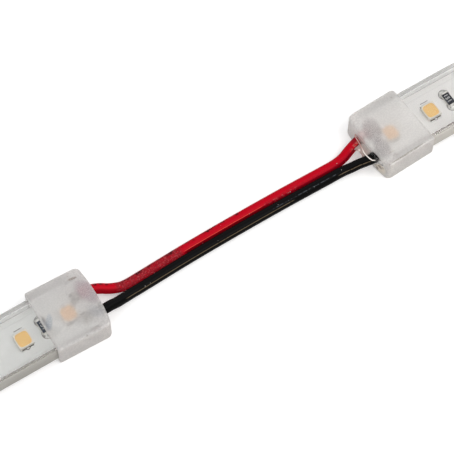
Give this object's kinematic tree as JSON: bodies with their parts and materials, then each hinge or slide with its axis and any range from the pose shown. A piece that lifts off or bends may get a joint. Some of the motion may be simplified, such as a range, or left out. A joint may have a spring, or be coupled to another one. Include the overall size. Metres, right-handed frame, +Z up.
{
  "type": "led strip connector",
  "caption": "Two frosted silicone end caps on covered LED strip ends, joined by a bonded red and black twin lead.",
  "frame": {"origin": "middle of the joiner between the two caps, on the surface that the caps stand on", "axes": "+X from the left cap to the right cap along the strips, +Y towards the red wire, +Z up from the caps' flat floors"},
  "size_m": [0.108, 0.0134, 0.0053],
  "materials": {
    "frosted_silicone": "frosted, milky, translucent",
    "clear_silicone": "smooth, nearly clear",
    "clear_sealant": "glossy, clear",
    "white_board": "satin white solder mask on film",
    "tinned_copper": "tinned, dull",
    "solder": "bright, uneven",
    "led_housing": "white moulded",
    "led_phosphor": "yellow phosphor in clear resin",
    "resistor_ceramic": "fine unglazed white",
    "resistor_coating": "black glaze with a plain value code",
    "tinned_terminal": "plated",
    "tinned_strand": "tinned strands",
    "red_insulation": "soft PVC, semi-gloss",
    "black_insulation": "soft PVC, semi-gloss"
  },
  "bodies": {
    "root": {"red_wire": "red_insulation", "black_wire": "black_insulation", "left_cap": "frosted_silicone", "left_sealant": "clear_sealant", "left_sleeve": "clear_silicone", "left_board": "white_board", "left_pads": "tinned_copper", "left_inner_led_housing": "led_housing", "left_inner_led_phosphor": "led_phosphor", "left_inner_led_leads": "tinned_copper", "left_outer_led_housing": "led_housing", "left_outer_led_phosphor": "led_phosphor", "left_outer_led_leads": "tinned_copper", "left_resistor_body": "resistor_ceramic", "left_resistor_coating": "resistor_coating", "left_resistor_terminals": "tinned_terminal", "left_part_solder": "solder", "left_wire_solder": "solder", "left_red_strands": "tinned_strand", "left_black_strands": "tinned_strand", "right_cap": "frosted_silicone", "right_sealant": "clear_sealant", "right_sleeve": "clear_silicone", "right_board": "white_board", "right_pads": "tinned_copper", "right_inner_led_housing": "led_housing", "right_inner_led_phosphor": "led_phosphor", "right_inner_led_leads": "tinned_copper", "right_outer_led_housing": "led_housing", "right_outer_led_phosphor": "led_phosphor", "right_outer_led_leads": "tinned_copper", "right_resistor_body": "resistor_ceramic", "right_resistor_coating": "resistor_coating", "right_resistor_terminals": "tinned_terminal", "right_part_solder": "solder", "right_wire_solder": "solder", "right_red_strands": "tinned_strand", "right_black_strands": "tinned_strand"}
  },
  "joints": []
}
